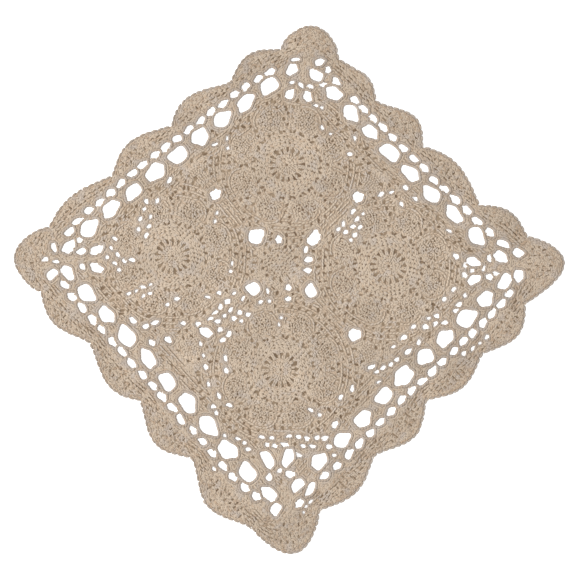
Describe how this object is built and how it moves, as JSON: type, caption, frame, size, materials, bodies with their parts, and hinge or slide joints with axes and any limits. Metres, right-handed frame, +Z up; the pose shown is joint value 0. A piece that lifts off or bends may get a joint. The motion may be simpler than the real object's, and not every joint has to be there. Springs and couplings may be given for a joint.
{
  "type": "crochet doily",
  "caption": "Square crochet doily with round flower medallions, a net border of chain loops and a scalloped shell edging, lying flat.",
  "frame": {"origin": "middle of the mat's outline seen from above, on the surface that the mat lies on", "axes": "+Z up, out of the mat's face; X and Y run along its sides, with the most pointed corner at -X and +Y"},
  "size_m": [0.337, 0.328, 0.002],
  "materials": {
    "yarn": "matte"
  },
  "bodies": {
    "root": {"doily": "yarn"}
  },
  "joints": []
}
